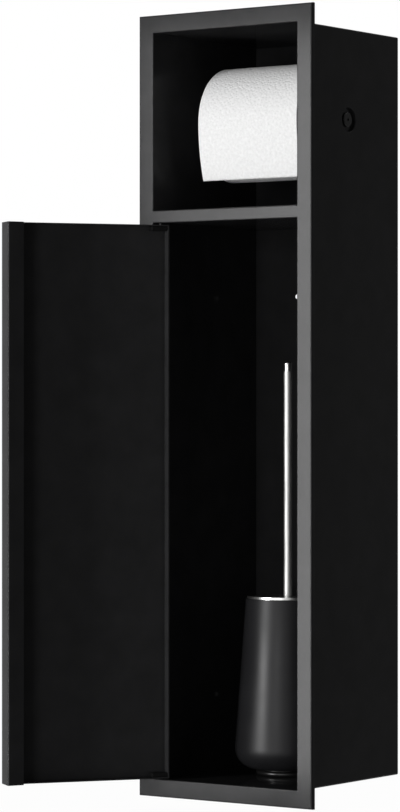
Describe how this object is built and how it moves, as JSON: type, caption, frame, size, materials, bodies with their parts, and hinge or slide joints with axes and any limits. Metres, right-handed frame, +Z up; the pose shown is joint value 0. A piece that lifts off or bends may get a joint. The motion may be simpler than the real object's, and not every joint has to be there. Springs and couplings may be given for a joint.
{
  "type": "recessed toilet brush cabinet",
  "caption": "Tall black sheet-metal wall cabinet with a face frame, an open toilet roll niche above, and a side-hinged door over a compartment that holds a brush in its holder.",
  "frame": {"origin": "centre of the four wall screw holes, on the rear face of the back panel", "axes": "+X to the right seen from the front, +Y into the wall along the screws, +Z up along the cabinet's height"},
  "size_m": [0.2691, 0.3108, 0.75],
  "materials": {
    "black_powder_coat": "satin black powder coat with a fine grain",
    "plain_steel": "plain bright steel",
    "black_nylon": "moulded black nylon",
    "black_oxide_steel": "black oxide on steel",
    "roll_cardboard": "grey-brown roll board",
    "tissue_paper": "soft white embossed tissue",
    "satin_black_holder": "satin black lacquer",
    "liner_plastic": "translucent grey plastic",
    "foot_rubber": "black rubber",
    "polished_steel": "mirror-polished steel",
    "black_bristle": "stiff black nylon bristle"
  },
  "bodies": {
    "cabinet": {"face_frame": "black_powder_coat", "body_wrap": "black_powder_coat", "back_panel": "black_powder_coat", "divider_shelf": "black_powder_coat", "upper_pivot_bracket": "black_powder_coat", "lower_pivot_bracket": "black_powder_coat", "upper_pivot_pin": "black_oxide_steel", "lower_pivot_pin": "black_oxide_steel", "thrust_washer": "black_nylon", "latch_bracket": "black_powder_coat", "latch_housing": "black_nylon", "latch_spring": "plain_steel", "latch_screws": "plain_steel", "socket_left": "black_nylon", "socket_right": "black_nylon", "socket_screws": "black_oxide_steel", "roller_sleeve": "black_nylon", "roller_spring": "plain_steel"},
    "door": {"door_pan": "black_powder_coat", "door_block_upper": "black_nylon", "door_block_lower": "black_nylon"},
    "latch_plunger": {"latch_plunger": "black_nylon", "latch_magnet": "plain_steel"},
    "roller_slider": {"roller_slider": "black_nylon"},
    "roll": {"roll_core": "roll_cardboard", "paper_roll": "tissue_paper", "paper_tail": "tissue_paper"},
    "holder": {"holder_cup": "satin_black_holder", "holder_liner": "liner_plastic", "holder_foot": "foot_rubber"},
    "brush": {"brush_lid": "polished_steel", "brush_handle": "polished_steel", "handle_cap": "polished_steel", "brush_socket": "black_nylon", "brush_core": "black_nylon", "bristles": "black_bristle"}
  },
  "joints": [
    {"name": "door_swing", "type": "hinge", "parent": "cabinet", "child": "door", "pos_m": [-0.0763, -0.17155, 0], "axis": [0, 0, 1], "range_deg": [0, 125]},
    {"name": "latch_press", "type": "slide", "parent": "cabinet", "child": "latch_plunger", "axis": [0, 1, 0], "range_m": [0, 0.002], "stiffness_N_per_m": 400, "springref_m": -0.006, "deforming": ["latch_spring"]},
    {"name": "roller_press", "type": "slide", "parent": "cabinet", "child": "roller_slider", "axis": [-1, 0, 0], "range_m": [0, 0.0085], "stiffness_N_per_m": 500, "springref_m": -0.01, "deforming": ["roller_spring"]},
    {"name": "roll_spin", "type": "hinge", "parent": "cabinet", "child": "roll", "pos_m": [0, -0.0875, 0.364], "axis": [1, 0, 0], "continuous": true},
    {"name": "holder_slide", "type": "slide", "parent": "cabinet", "child": "holder", "axis": [0, -1, 0], "range_m": [-0.012, 0.05]},
    {"name": "brush_lift", "type": "slide", "parent": "holder", "child": "brush", "axis": [0, 0, 1], "range_m": [0, 0.125]}
  ]
}
